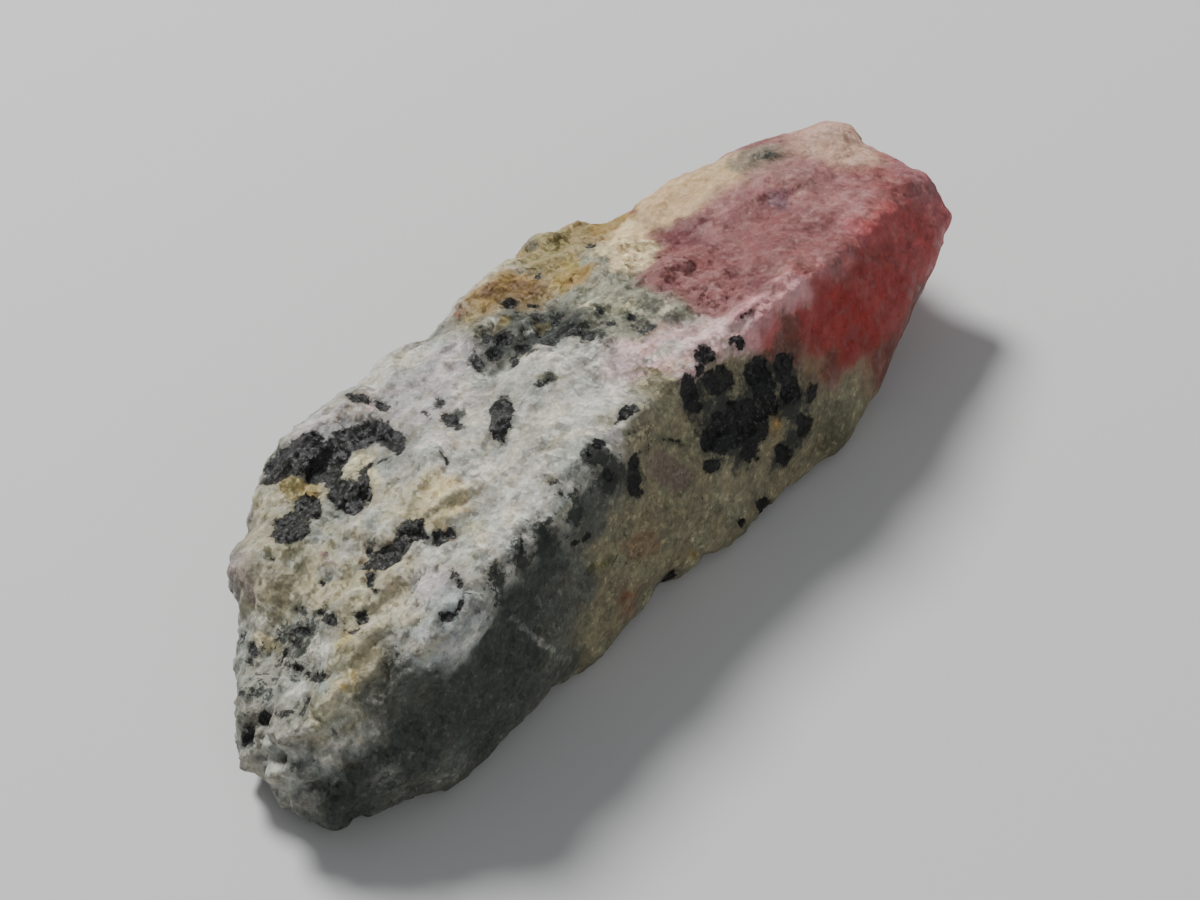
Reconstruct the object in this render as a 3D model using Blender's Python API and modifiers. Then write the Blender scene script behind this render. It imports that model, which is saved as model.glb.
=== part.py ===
"""A rough tugtupite specimen: one broken splinter of pale albite rock with a tugtupite end.

The stone lies along X on its flattest break. Its pink end is at +X and the steep side break
faces -Y. The origin is under the middle of its bounding box, on the surface that it rests on.
Sizes are millimetres here until the finished mesh is scaled to metres.
"""

import math

import bmesh
import bpy
from mathutils import Vector, noise

MM = 0.001
NAME = "tugtupite_stone"

# The stone is a loft through these cross-sections, from the near end to the far end. Each has
# eight corners, (x, y, z), where its break faces meet, in this order round the stone:
# foot, side, ridge, crown, shoulder, flank, heel, keel.
SECTIONS = {
    "near end": [
        (-22.9, -5.3, 0.7), (-23.0, -5.2, 1.6), (-22.5, -5.0, 2.9), (-23.1, -3.1, 2.7),
        (-22.6, -0.9, 2.7), (-22.5, -0.2, 1.8), (-22.4, -1.0, 0.7), (-22.9, -3.2, 0.4),
    ],
    "near nose": [
        (-20.4, -6.9, 0.7), (-21.0, -6.8, 2.9), (-20.6, -6.1, 4.9), (-21.2, -3.3, 4.8),
        (-20.6, 0.3, 4.3), (-20.4, 1.0, 2.6), (-20.0, 0.3, 0.7), (-20.2, -2.8, 0.2),
    ],
    "near slope": [
        (-17.9, -7.7, 0.6), (-18.3, -7.4, 3.4), (-18.6, -6.2, 6.3), (-18.9, -3.2, 6.7),
        (-18.2, 2.1, 5.2), (-17.9, 3.1, 3.4), (-17.9, 2.1, 0.4), (-18.0, -2.5, -0.4),
    ],
    "near shoulder": [
        (-14.3, -7.8, 0.5), (-15.0, -7.8, 3.8), (-15.4, -6.9, 7.2), (-15.0, -2.2, 7.8),
        (-15.1, 5.3, 6.3), (-15.0, 6.1, 3.6), (-14.8, 4.6, 0.3), (-14.5, -1.8, -0.6),
    ],
    "near body": [
        (-9.9, -7.6, 0.5), (-10.0, -7.4, 4.0), (-9.9, -6.0, 8.0), (-9.7, -1.0, 8.4),
        (-10.2, 6.6, 7.1), (-10.0, 7.0, 4.0), (-10.0, 5.4, 0.3), (-10.0, -1.0, -0.6),
    ],
    "middle": [
        (-4.8, -7.4, 0.5), (-4.8, -7.1, 4.3), (-4.5, -5.5, 8.5), (-5.0, -0.5, 8.7),
        (-4.9, 6.7, 7.2), (-5.0, 7.0, 3.8), (-5.0, 5.4, 0.3), (-5.0, -1.0, -0.6),
    ],
    "far body": [
        (0.8, -7.7, 0.5), (0.8, -6.9, 4.5), (0.8, -4.7, 8.7), (1.0, 0.2, 8.7),
        (1.5, 6.8, 7.2), (1.0, 7.0, 3.8), (1.0, 5.4, 0.3), (1.0, -1.0, -0.6),
    ],
    "far bulge": [
        (6.0, -7.8, 0.5), (6.0, -7.1, 4.6), (6.4, -4.8, 8.9), (6.2, 0.3, 8.4),
        (6.4, 7.8, 6.8), (6.2, 7.4, 3.6), (6.0, 5.6, 0.4), (6.0, -1.0, -0.5),
    ],
    "far waist": [
        (11.0, -7.5, 0.7), (11.0, -7.0, 4.6), (11.4, -4.9, 8.5), (11.4, 0.0, 8.1),
        (11.0, 5.6, 7.2), (11.0, 5.6, 4.0), (11.0, 4.2, 0.5), (11.0, -1.2, -0.2),
    ],
    "far slope": [
        (14.2, -6.7, 1.2), (14.8, -6.6, 4.4), (15.2, -4.4, 7.9), (15.4, -0.4, 7.8),
        (15.0, 5.2, 7.3), (15.0, 4.8, 4.0), (14.6, 3.2, 0.9), (14.4, -1.6, 0.4),
    ],
    "far nose": [
        (17.6, -5.9, 2.5), (18.3, -5.9, 4.6), (18.8, -3.9, 7.2), (18.8, -0.6, 7.3),
        (19.0, 3.9, 7.2), (18.8, 3.6, 4.6), (18.2, 2.0, 1.9), (17.8, -1.8, 1.5),
    ],
    "far end": [
        (20.2, -5.0, 3.9), (21.8, -4.7, 4.9), (22.1, -3.3, 6.2), (22.2, -1.2, 7.1),
        (23.0, 2.2, 6.7), (22.5, 2.4, 5.0), (21.2, 1.2, 3.2), (20.4, -1.8, 2.8),
    ],
}

# Points along each side of a section, from one corner to the next.
SIDE_STEPS = (6, 6, 9, 10, 6, 6, 8, 9)
STEPS_BETWEEN_SECTIONS = 6
CAP_RINGS = 4

# The knobs and hollows that show from a step away: middle, radius, and height along the surface.
KNOBS = {
    "near tip": ((-22.8, -3.0, 2.0), 2.4, 0.5),
    "near tip knob": ((-21.8, -4.6, 3.6), 1.1, 0.4),
    "near tip hollow": ((-20.9, -6.0, 3.7), 1.3, -0.35),
    "near tip ledge": ((-21.6, -1.2, 3.6), 1.6, 0.5),
    "crest foot": ((-20.6, -3.8, 5.2), 1.5, 0.45),
    "crest": ((-18.9, -3.8, 6.5), 1.6, 0.5),
    "crest top": ((-16.8, -2.8, 7.4), 1.6, 0.4),
    "hollow beside the crest": ((-18.6, -5.2, 6.3), 2.1, -0.3),
    "hollow under the shoulder": ((-20.0, -0.4, 5.2), 1.8, -0.35),
    "pale facet": ((-15.9, -6.2, 7.2), 2.0, 0.35),
    "hollow behind the facet": ((-16.8, -4.4, 7.3), 1.2, -0.35),
    "nub": ((-17.2, 4.0, 4.9), 1.9, 0.7),
    "first chip": ((-7.0, 6.2, 7.3), 1.3, -0.4),
    "second chip": ((-3.0, 6.6, 7.2), 1.2, -0.35),
    "pink hollow": ((10.0, 1.0, 8.2), 4.5, -0.35),
    "pink ridge": ((5.5, -4.2, 8.8), 2.2, 0.35),
    "far lobe": ((22.7, 1.8, 6.3), 2.2, 0.3),
    "far notch": ((22.6, 0.2, 6.9), 1.2, -0.7),
    "red lobe": ((22.2, -3.0, 5.6), 2.0, 0.1),
    "step in the foot": ((-3.6, -7.4, 0.8), 1.6, -0.4),
}

# The break surface: long ledges that step down along the stone, and shallow chips that tilt
# and crease against each other. The steep side break is smoother than the rest.
LEDGE_WAVE = Vector((9.0, 3.6, 3.6))
LEDGE_HEIGHT = 0.6
LEDGE_STEPS = 5.0
LEDGE_RISER = 0.3
CHIP_SIZE = 3.3
CHIP_HEIGHT = 0.7
CHIP_BEND = 0.55
CHIP_TILT = 1.1
CHIP_SPREAD = 41.0
SIDE_SMOOTHNESS = 0.6

# The even grid of faces, how far each point of it is drawn to its neighbours, and what both
# wear off the corners, which is laid back on.
GRID = 0.69
GRID_SMOOTHING = 0.25
WORN_BY_GRID = 0.25


def spline(before, start, end, after, share):
    """The Catmull-Rom curve from start to end."""
    a = 2.0 * start
    b = end - before
    c = 2.0 * before - 5.0 * start + 4.0 * end - after
    d = 3.0 * start - before - 3.0 * end + after
    return (a + b * share + c * share ** 2 + d * share ** 3) / 2.0


def corners_along_the_stone():
    """The eight corners at each step from the near end to the far end."""
    sections = [[Vector(corner) for corner in section] for section in SECTIONS.values()]
    last = len(sections) - 1
    rows = []
    for index in range(last):
        four = [sections[max(index - 1, 0)], sections[index],
                sections[index + 1], sections[min(index + 2, last)]]
        for step in range(STEPS_BETWEEN_SECTIONS):
            share = step / STEPS_BETWEEN_SECTIONS
            rows.append([spline(*corner, share) for corner in zip(*four)])
    rows.append(sections[last])
    return rows


def ring_through(corners):
    """A closed ring of points along the straight lines between the corners."""
    ring = []
    for index, steps in enumerate(SIDE_STEPS):
        following = corners[(index + 1) % len(corners)]
        ring += [corners[index].lerp(following, step / steps) for step in range(steps)]
    return ring


def middle_of(ring):
    return sum(ring, Vector()) / len(ring)


def cap_rings(ring):
    """Rings that close an end, from just inside its rim to near its middle."""
    middle = middle_of(ring)
    return [[point.lerp(middle, step / CAP_RINGS) for point in ring]
            for step in range(1, CAP_RINGS)]


def loft():
    """The plain broken splinter, with a ring of points at each step and a capped end each side."""
    rings = [ring_through(corners) for corners in corners_along_the_stone()]
    rings = cap_rings(rings[0])[::-1] + rings + cap_rings(rings[-1])
    mesh = bmesh.new()
    rows = [[mesh.verts.new(point) for point in ring] for ring in rings]
    for row, following in zip(rows, rows[1:]):
        for index, vertex in enumerate(row):
            after = (index + 1) % len(row)
            mesh.faces.new((vertex, row[after], following[after], following[index]))
    for ring, row in ((rings[0], rows[0]), (rings[-1], rows[-1])):
        hub = mesh.verts.new(middle_of(ring))
        for index, vertex in enumerate(row):
            mesh.faces.new((vertex, row[(index + 1) % len(row)], hub))
    bmesh.ops.recalc_face_normals(mesh, faces=mesh.faces)
    return mesh


def knob_height(point):
    height = 0.0
    for middle, radius, rise in KNOBS.values():
        reach = 1.0 - (point - Vector(middle)).length_squared / radius ** 2
        if reach > 0.0:
            height += rise * reach ** 2
    return height


def chip_height(place, chip):
    """One chip's shallow dome, with a tilt of its own."""
    offset = place - chip
    tilt = noise.cell_vector(chip * CHIP_SPREAD) - Vector((0.5, 0.5, 0.5))
    return CHIP_TILT * offset.dot(tilt) - CHIP_BEND * offset.length_squared


def ledge_height(point):
    """Slow waves cut into treads, with a short riser from each tread to the next."""
    place = Vector(length / wave for length, wave in zip(point, LEDGE_WAVE))
    level = noise.fractal(place, 1.0, 2.0, 2) * LEDGE_STEPS
    tread = math.floor(level)
    riser = max(0.0, (level - tread - 1.0 + LEDGE_RISER) / LEDGE_RISER)
    return (tread + riser) / LEDGE_STEPS


def break_height(point):
    """The ledges plus the highest of the chips around the point."""
    place = point / CHIP_SIZE
    chips = max(chip_height(place, chip) for chip in noise.voronoi(place)[1])
    return LEDGE_HEIGHT * ledge_height(point) + CHIP_HEIGHT * chips


def even_grid(mesh):
    """The same shape on an even grid of faces, with its edges a little worn."""
    data = bpy.data.meshes.new("splinter")
    mesh.to_mesh(data)
    mesh.free()
    splinter = bpy.data.objects.new("splinter", data)
    bpy.context.scene.collection.objects.link(splinter)
    remesh = splinter.modifiers.new("even grid", "REMESH")
    remesh.mode = "VOXEL"
    remesh.voxel_size = GRID
    remesh.adaptivity = 0.0
    bpy.context.view_layer.update()
    evaluated = splinter.evaluated_get(bpy.context.evaluated_depsgraph_get())
    even = bmesh.new()
    even.from_mesh(evaluated.to_mesh())
    evaluated.to_mesh_clear()
    bpy.data.objects.remove(splinter)
    bmesh.ops.smooth_vert(even, verts=even.verts, factor=GRID_SMOOTHING,
                          use_axis_x=True, use_axis_y=True, use_axis_z=True)
    return even


def roughen(mesh):
    """Moves each point along the surface normal by the knobs and the break surface."""
    mesh.normal_update()
    moves = []
    for vertex in mesh.verts:
        side = max(0.0, -vertex.normal.y)
        broken = break_height(vertex.co) * (1.0 - SIDE_SMOOTHNESS * side)
        moves.append(vertex.normal * (WORN_BY_GRID + knob_height(vertex.co) + broken))
    for vertex, move in zip(mesh.verts, moves):
        vertex.co += move


def rest_on_the_surface(mesh):
    """Flattens what reaches below z = 0 into the patch that the stone rests on."""
    for vertex in mesh.verts:
        vertex.co.z = max(vertex.co.z, 0.0)


def centre_over_origin(mesh):
    for axis in (0, 1):
        places = [vertex.co[axis] for vertex in mesh.verts]
        middle = (min(places) + max(places)) / 2.0
        for vertex in mesh.verts:
            vertex.co[axis] -= middle


def build_stone():
    mesh = even_grid(loft())
    roughen(mesh)
    rest_on_the_surface(mesh)
    centre_over_origin(mesh)
    bmesh.ops.scale(mesh, verts=mesh.verts, vec=(MM, MM, MM))
    data = bpy.data.meshes.new(NAME)
    mesh.to_mesh(data)
    mesh.free()
    data.shade_smooth()
    return bpy.data.objects.new(NAME, data)


def stone_material():
    """The pale grey and pink of the stone seen from across a room."""
    material = bpy.data.materials.new("albite_and_tugtupite")
    material.use_nodes = True
    shader = material.node_tree.nodes["Principled BSDF"]
    shader.inputs["Base Color"].default_value = (0.55, 0.47, 0.45, 1.0)
    shader.inputs["Roughness"].default_value = 0.6
    shader.inputs["Metallic"].default_value = 0.0
    return material


def main():
    for old in list(bpy.data.objects):
        bpy.data.objects.remove(old)
    collection = bpy.data.collections.new("tugtupite_specimen")
    bpy.context.scene.collection.children.link(collection)
    stone = build_stone()
    stone.data.materials.append(stone_material())
    collection.objects.link(stone)


main()
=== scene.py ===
"""The looks of the tugtupite specimen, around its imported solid.

The solid is copied onto a fine even grid and given ledges, chips, grain and pits. Then each
point of the surface gets its minerals: their places are named by pixels of the 1200 x 900
photograph where it shows them, and by millimetres of the stone's frame elsewhere.
"""

import math
import random

import bmesh
import bpy
import numpy as np
from mathutils import Matrix, Vector, noise
from mathutils.bvhtree import BVHTree


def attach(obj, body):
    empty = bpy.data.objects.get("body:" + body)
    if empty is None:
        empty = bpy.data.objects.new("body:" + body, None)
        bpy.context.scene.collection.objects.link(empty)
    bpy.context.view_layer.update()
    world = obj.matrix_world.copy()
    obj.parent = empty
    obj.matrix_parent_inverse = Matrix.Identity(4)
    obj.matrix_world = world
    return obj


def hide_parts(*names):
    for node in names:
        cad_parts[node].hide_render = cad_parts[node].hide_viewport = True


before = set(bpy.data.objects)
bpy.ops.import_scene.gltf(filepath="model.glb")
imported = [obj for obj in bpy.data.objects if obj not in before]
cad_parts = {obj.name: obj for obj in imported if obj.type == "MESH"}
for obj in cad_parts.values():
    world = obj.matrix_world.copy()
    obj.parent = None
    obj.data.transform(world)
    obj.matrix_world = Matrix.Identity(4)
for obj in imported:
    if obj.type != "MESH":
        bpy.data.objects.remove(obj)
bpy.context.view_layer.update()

NOISE_SEED = 7
noise.seed_set(NOISE_SEED)

STONE_NODE = "tugtupite_stone"
MM = 0.001

# The camera, as the photograph was taken. Angles are degrees and lengths are metres.
CAMERA_AZIMUTH = -50.5
CAMERA_ELEVATION = 42.0
CAMERA_DISTANCE = 0.122
CAMERA_AIM = Vector((0.0021, 0.0010, 0.0))
CAMERA_CLIP = 0.001

# Its lens and sensor in millimetres, and its picture in pixels.
CAMERA_LENS = 79.2
CAMERA_SENSOR = 36.0
PHOTO_WIDTH = 1200
PHOTO_HEIGHT = 900

# The lights: name, place and diameter in metres, and power in watts. Then the soft room.
LIGHTS = [("key", (0.08, 0.35, 0.36), 0.16, 3.9), ("fill", (-0.20, -0.45, 0.30), 0.5, 0.6)]
ROOM_COLOUR = (0.92, 0.95, 1.0, 1.0)
ROOM_STRENGTH = 0.24

# The floor: its width and how far it lies under the stone, in metres, and its look.
FLOOR_WIDTH = 3.0
FLOOR_DROP = 0.00002
FLOOR_COLOUR = (0.62, 0.62, 0.61, 1.0)
FLOOR_ROUGHNESS = 0.85

# The fine grid, in metres, and how it is smoothed so that the solid's facets don't show.
FINE_GRID = 0.000155
SMOOTHING_STEPS = 8
SMOOTHING_FACTOR = 0.5

# From here on lengths are millimetres, unless it says metres.

# Ledges: the waves that they follow along each axis, steps for each unit of wave, the level
# share of a step, and the height of a unit.
LEDGE_WAVE = (3.8, 1.5, 1.5)
LEDGE_STEPS = 6.0
LEDGE_TREAD = 0.68
LEDGE_HEIGHT = 0.36

# Chips: size and height of each layer, how much longer they are along each axis, what tells
# their tilts apart, and how much they tilt, bend and are lifted.
CHIP_SIZES = ((1.7, 0.24), (0.8, 0.10), (0.4, 0.035))
CHIP_STRETCH = (1.7, 1.0, 1.0)
CHIP_SPREAD = 37.0
CHIP_TILT = 1.6
CHIP_BEND = 0.9
CHIP_LIFT = 0.3

# The sugary grain, and the pits, which come in over a range of their noise.
SUGAR_SIZE = 0.5
SUGAR_HEIGHT = 0.06
PIT_SIZE = 1.5
PIT_DEPTH = 0.2
PIT_RANGE = (0.45, 0.75)

# How far dark grains sink into the rock, over a range of depth inside their outline.
DARK_SINK = 0.06
DARK_EDGE = (-0.08, 0.05)

# The relief fades out this near to the surface that the stone rests on.
RESTING_BAND = 0.35

# The outline of a mark: 2 is an ellipse, and more is squarer. A mark also ends at this many
# times its half length, and a margin more, so that it doesn't show on the faces behind it.
# FAR_OUTSIDE is the least depth that is told apart.
MARK_SQUARENESS = 2.7
MARK_REACH = 1.7
MARK_MARGIN = 0.5
FAR_OUTSIDE = -0.6

# Where a ray of the camera misses the stone, this many points along it are tried, in metres.
SEARCH_STEPS = 40
SEARCH_START = 0.09
SEARCH_STEP = 0.0015

# How raggedly zones, patches, forms and grains end: size and reach of each wander, and a seed.
ZONE_WANDERS = ((2.2, 0.55, 5.0), (0.8, 0.28, 9.0), (0.4, 0.14, 13.0))
PATCH_WANDER = (0.8, 0.2, 31.0)
FORM_WANDER = (0.8, 0.12, 17.0)
GRAIN_WANDER = (0.6, 0.17, 2.0)

# How clearly the nearest mineral wins, and the weight that a far one keeps.
ZONE_CRISPNESS = 0.9
FAR_WEIGHT = 1e-5

# The tugtupite starts here along the stone. Hidden dark grains stay clear of it.
PINK_START = 9.0

# A face counts as hidden when it turns this much away from the camera: 0 is edge on, 1 is away.
# It counts as lower when its normal has less than this much of +Z.
HIDDEN_SLOPE = 0.38
LOWER_SLOPE = -0.6

# Hidden dark grains: clusters, how often one is on a lower face, grains in each, how far they
# spread, and their radii.
HIDDEN_SEED = 14
HIDDEN_CLUSTERS = 28
LOWER_EVERY = 4
CLUSTER_GRAINS = (1, 5)
CLUSTER_SPREAD = 0.9
HIDDEN_RADII = (0.25, 0.75)

# The share of the relief left out on the steep side, on the pink end, and where they meet. The
# side comes in over a range of -Y in the normal, and the pink over a range of the length.
SIDE_CALM = 0.5
PINK_CALM = 0.58
PINK_SIDE_CALM = 0.75
SIDE_RANGE = (0.55, 0.9)
PINK_RANGE = (PINK_START - 3.0, PINK_START + 1.0)

# Fine dark specks: the least of them anywhere, and how many more low on the grey end.
PEPPER_LEAST = 0.06
PEPPER_LOW = 0.35

# Ranges of a colour's red against its green and blue that make it waxy, and crimson. Then the
# range of its darkest part that makes it albite, and of +Z in the normal that brings grey specks
# to the dark grains: dust, and painted sheen where their faces turn up to the light.
WAX_RANGE = (1.25, 2.0)
CRIMSON_RANGE = (3.0, 5.0)
ALBITE_RANGE = (0.14, 0.36)
SHEEN_AND_DUST_RANGE = (0.1, 0.75)

# The layers of the material: tints that multiply the rock's colour, and plain colours.
CLEAR_TINT = (0.70, 0.71, 0.71, 1.0)
STAIN_TINT = (1.0, 0.93, 0.74, 1.0)
THREAD_TINT = (0.72, 0.55, 0.58, 1.0)
FLECK_TINT = (1.75, 1.72, 1.62, 1.0)
COOL_TINT = (0.97, 1.01, 1.00, 1.0)
WARM_TINT = (1.05, 0.99, 0.95, 1.0)
FLAKE_WHITE = (0.66, 0.65, 0.60, 1.0)
# The pale pink of the veils, which also paint upright streaks of sheen on the crimson.
VEIL_AND_SHEEN_PINK = (0.80, 0.55, 0.50, 1.0)
SMOKE_DARK = (0.032, 0.036, 0.032, 1.0)
SPECK_DARK = (0.032, 0.038, 0.034, 1.0)
HALO_DARK = (0.060, 0.062, 0.052, 1.0)
GRAIN_BLACK = (0.003, 0.003, 0.003, 1.0)
GRAIN_FIBRE = (0.028, 0.031, 0.030, 1.0)
# The grey of the specks on the dark grains: dust, and also painted sheen of light catching their tops.
SHEEN_AND_DUST_GREY = (0.21, 0.21, 0.20, 1.0)

# Sizes of the crystal faces and the fine grain, the dark grains' roughness, and the gloss.
FACET_SIZE = 0.46
SMALL_FACET_SIZE = 0.2
FINE_SIZE = 0.22
GRAIN_ROUGHNESS = 0.42
GLOSS = 0.18

# Light goes a little way into the stone: its share, and how far in metres each colour goes.
GLOW_SHARE = 0.18
GLOW_DEPTH = 0.0005
GLOW_REACH = (1.0, 0.6, 0.5)


class PhotoCamera:
    """The camera's place and directions, and the way between its picture and the stone."""

    def __init__(self):
        azimuth = math.radians(CAMERA_AZIMUTH)
        elevation = math.radians(CAMERA_ELEVATION)
        self.back = Vector((math.sin(azimuth) * math.cos(elevation),
                            -math.cos(azimuth) * math.cos(elevation), math.sin(elevation)))
        self.right = Vector((math.cos(azimuth), math.sin(azimuth), 0.0))
        self.up = self.back.cross(self.right)
        self.place = CAMERA_AIM + self.back * CAMERA_DISTANCE
        self.focal_pixels = CAMERA_LENS / CAMERA_SENSOR * PHOTO_WIDTH

    def project(self, points):
        """Pixel columns and rows of points, an n by 3 array in metres."""
        offsets = points - np.array(self.place)
        depth = -offsets @ np.array(self.back)
        columns = PHOTO_WIDTH / 2 + self.focal_pixels * (offsets @ np.array(self.right)) / depth
        rows = PHOTO_HEIGHT / 2 - self.focal_pixels * (offsets @ np.array(self.up)) / depth
        return columns, rows

    def ray(self, column, row):
        """The direction in which the camera sees a pixel."""
        direction = (-self.back * self.focal_pixels
                     + self.right * (column - PHOTO_WIDTH / 2)
                     + self.up * (PHOTO_HEIGHT / 2 - row))
        return direction.normalized()

    def make_object(self):
        """Puts the camera in the scene."""
        data = bpy.data.cameras.new("photo_camera")
        data.lens = CAMERA_LENS
        data.sensor_width = CAMERA_SENSOR
        data.clip_start = CAMERA_CLIP
        camera = bpy.data.objects.new("photo_camera", data)
        turn = Matrix((self.right, self.up, self.back)).transposed().to_4x4()
        camera.matrix_world = Matrix.Translation(self.place) @ turn
        bpy.context.scene.collection.objects.link(camera)
        bpy.context.scene.camera = camera


def smoothstep(low, high, value):
    """0 at low, 1 at high and smooth between, also where high is less than low."""
    share = np.clip((value - low) / (high - low), 0.0, 1.0)
    return share * share * (3.0 - 2.0 * share)


def fractal_field(points, size, octaves, seed):
    """Fractal noise at each point, about -1 to 1. size is the longest wave, or one per axis."""
    places = points / np.array(size) + seed
    return np.array([noise.fractal(place, 0.8, 2.1, octaves) for place in places])


def vector_field(points, size, reach, seed):
    """A smooth random shift of each point, up to about the reach."""
    places = points / size + seed
    return reach * np.array([noise.turbulence_vector(place, 2, False) for place in places])


def chip_field(points, size, seed):
    """Flat chips, each with its own tilt, that meet in creases. About -1 to 1."""
    heights = np.empty(len(points))
    for index, place in enumerate(points / np.array(CHIP_STRETCH) / size + seed):
        place = Vector(place)
        best = -math.inf
        for middle in noise.voronoi(place)[1]:
            offset = place - middle
            tilt = noise.cell_vector(middle * CHIP_SPREAD) - Vector((0.5, 0.5, 0.5))
            best = max(best, CHIP_TILT * offset.dot(tilt) - CHIP_BEND * offset.length_squared)
        heights[index] = best
    return heights + CHIP_LIFT


def fine_surface(node):
    """A copy of the solid's surface on a fine even grid."""
    mesh = bmesh.new()
    mesh.from_mesh(node.data)
    bmesh.ops.remove_doubles(mesh, verts=mesh.verts, dist=1e-7)
    data = bpy.data.meshes.new("rock")
    mesh.to_mesh(data)
    mesh.free()
    rock = bpy.data.objects.new("rock", data)
    bpy.context.scene.collection.objects.link(rock)
    remesh = rock.modifiers.new("fine grid", "REMESH")
    remesh.mode = "VOXEL"
    remesh.voxel_size = FINE_GRID
    smooth = rock.modifiers.new("hide facets", "SMOOTH")
    smooth.factor = SMOOTHING_FACTOR
    smooth.iterations = SMOOTHING_STEPS
    bpy.context.view_layer.update()
    evaluated = rock.evaluated_get(bpy.context.evaluated_depsgraph_get())
    rock.data = bpy.data.meshes.new_from_object(evaluated)
    rock.modifiers.clear()
    return rock


def places_and_normals(mesh):
    """Each point's place, in millimetres, and its normal."""
    values = np.empty((2, len(mesh.vertices) * 3), np.float32)
    mesh.vertices.foreach_get("co", values[0])
    mesh.vertex_normals.foreach_get("vector", values[1])
    places, normals = values.reshape(2, -1, 3).astype(float)
    return places / MM, normals


def add_relief(rock, calm, grain_depth, mark_height):
    """Moves the surface along its normals by marks, ledges, chips, grain and pits."""
    places, normals = places_and_normals(rock.data)
    steps = fractal_field(places, LEDGE_WAVE, octaves=3, seed=3.1) * LEDGE_STEPS
    terrace = np.floor(steps) + smoothstep(LEDGE_TREAD, 1.0, steps - np.floor(steps))
    height = LEDGE_HEIGHT * (terrace / LEDGE_STEPS)
    for number, (size, rise) in enumerate(CHIP_SIZES):
        height += rise * chip_field(places, size, seed=11.0 * number)
    height += SUGAR_HEIGHT * fractal_field(places, SUGAR_SIZE, octaves=2, seed=7.7)
    pits = fractal_field(places, PIT_SIZE, octaves=2, seed=23.0)
    height -= PIT_DEPTH * smoothstep(*PIT_RANGE, pits)
    height *= 1.0 - calm
    height -= DARK_SINK * smoothstep(*DARK_EDGE, grain_depth)
    height += mark_height
    resting = smoothstep(0.0, RESTING_BAND, places[:, 2])
    places += normals * (height * resting)[:, None]
    places[:, 2] = np.maximum(places[:, 2], 0.0)
    rock.data.vertices.foreach_set("co", (places * MM).astype(np.float32).ravel())
    rock.data.update()


# Mineral colours, as linear light.
MINERALS = {
    "sugar albite": (0.59, 0.58, 0.525),
    "albite": (0.49, 0.49, 0.435),
    "clear albite": (0.33, 0.34, 0.31),
    "lilac albite": (0.50, 0.47, 0.47),
    "blue albite": (0.43, 0.455, 0.445),
    "grey albite": (0.34, 0.35, 0.32),
    "cream": (0.50, 0.46, 0.32),
    "near cream": (0.41, 0.38, 0.265),
    "yellow cream": (0.60, 0.50, 0.27),
    "pale yellow": (0.72, 0.66, 0.42),
    "yellow": (0.50, 0.39, 0.14),
    "straw": (0.275, 0.225, 0.095),
    "yellow ochre": (0.38, 0.285, 0.09),
    "warm cream": (0.78, 0.62, 0.36),
    "mottled olive": (0.21, 0.18, 0.115),
    "ochre": (0.29, 0.19, 0.055),
    "brown": (0.16, 0.10, 0.04),
    "rust": (0.17, 0.065, 0.03),
    "moss": (0.13, 0.13, 0.05),
    "turquoise": (0.27, 0.34, 0.31),
    "dim grey": (0.17, 0.175, 0.155),
    "haze": (0.085, 0.088, 0.072),
    "pale haze": (0.28, 0.28, 0.21),
    "near speckle": (0.29, 0.295, 0.255),
    "nub": (0.25, 0.215, 0.205),
    "cream pink": (0.57, 0.41, 0.225),
    "grey back": (0.19, 0.16, 0.115),
    "pale lobe": (0.57, 0.37, 0.28),
    "pale pink": (0.72, 0.50, 0.50),
    "bright pink": (0.68, 0.34, 0.36),
    "rose": (0.22, 0.083, 0.082),
    "deep rose": (0.18, 0.067, 0.069),
    "pale rose": (0.34, 0.18, 0.16),
    "ridge rose": (0.62, 0.20, 0.205),
    "light rose": (0.315, 0.142, 0.137),
    "lobe rose": (0.24, 0.075, 0.075),
    "dusty pink": (0.31, 0.12, 0.125),
    "far pink": (0.42, 0.12, 0.13),
    "rose crimson": (0.33, 0.056, 0.054),
    "dusky rose": (0.155, 0.052, 0.058),
    "mauve": (0.18, 0.09, 0.11),
    "crimson": (0.32, 0.038, 0.034),
    "deep crimson": (0.24, 0.026, 0.024),
    "pink red": (0.40, 0.088, 0.088),
    "brown red": (0.17, 0.065, 0.050),
    # The olives and side greys below are the steep side's own duller colours, made a little darker still
    # as painted shade, since that side turns away from the key light.
    "olive": (0.23, 0.21, 0.135),
    "pale olive": (0.27, 0.25, 0.165),
    "dim olive": (0.12, 0.115, 0.075),
    "rusty olive": (0.23, 0.16, 0.10),
    "mauve olive": (0.17, 0.13, 0.11),
    "side grey and shade": (0.105, 0.11, 0.095),
    "dark side and shade": (0.060, 0.068, 0.060),
    "underside": (0.20, 0.195, 0.155),
}

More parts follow.
